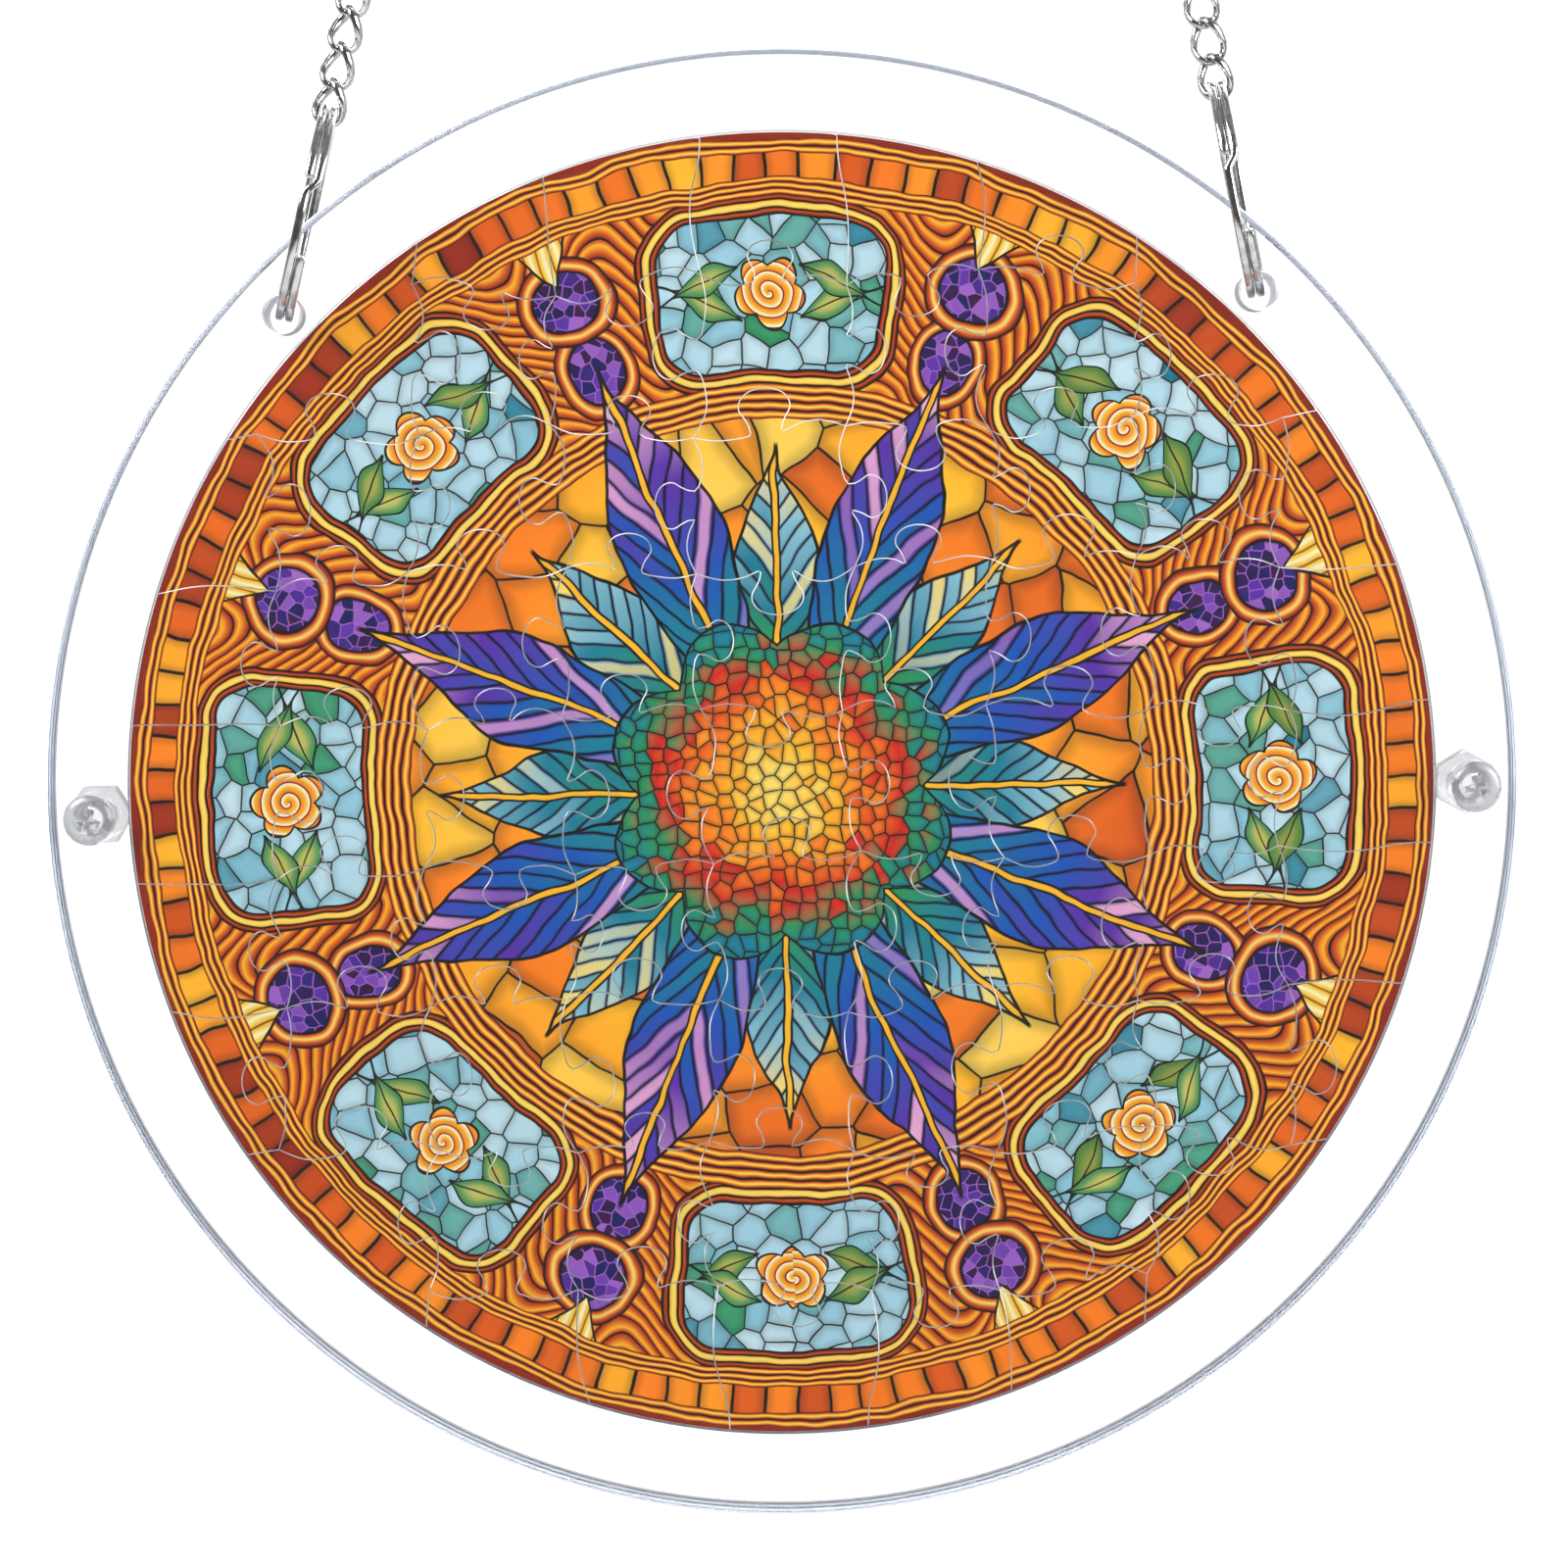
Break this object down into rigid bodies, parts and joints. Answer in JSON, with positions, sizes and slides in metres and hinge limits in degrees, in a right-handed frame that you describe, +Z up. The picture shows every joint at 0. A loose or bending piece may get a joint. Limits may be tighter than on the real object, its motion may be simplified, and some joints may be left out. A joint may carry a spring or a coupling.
{
  "type": "puzzle suncatcher",
  "caption": "Round clear acrylic suncatcher with a printed stained-glass jigsaw shut inside, hung from a ring on curb chains and split rings.",
  "frame": {"origin": "where a hook bears in the hanging ring, at the ring's inner top", "axes": "+Z up along the hanging line, front face towards -Y, +X to the viewer's right"},
  "size_m": [0.1998, 0.0298, 0.4863],
  "materials": {
    "clear_acrylic": "polished clear sheet, flame-bright edges",
    "printed_acrylic": "glossy sheet with a printed stained-glass picture",
    "nylon": "translucent natural nylon",
    "nickel": "bright nickel plate"
  },
  "bodies": {
    "root": {"front_plate": "clear_acrylic", "spacer_ring": "clear_acrylic", "back_plate": "clear_acrylic", "puzzle": "printed_acrylic", "screw_left": "nylon", "screw_right": "nylon", "nut_left": "nylon", "nut_right": "nylon", "split_ring_left": "nickel", "split_ring_right": "nickel", "chain_left": "nickel", "chain_right": "nickel", "hanging_ring": "nickel"}
  },
  "joints": []
}
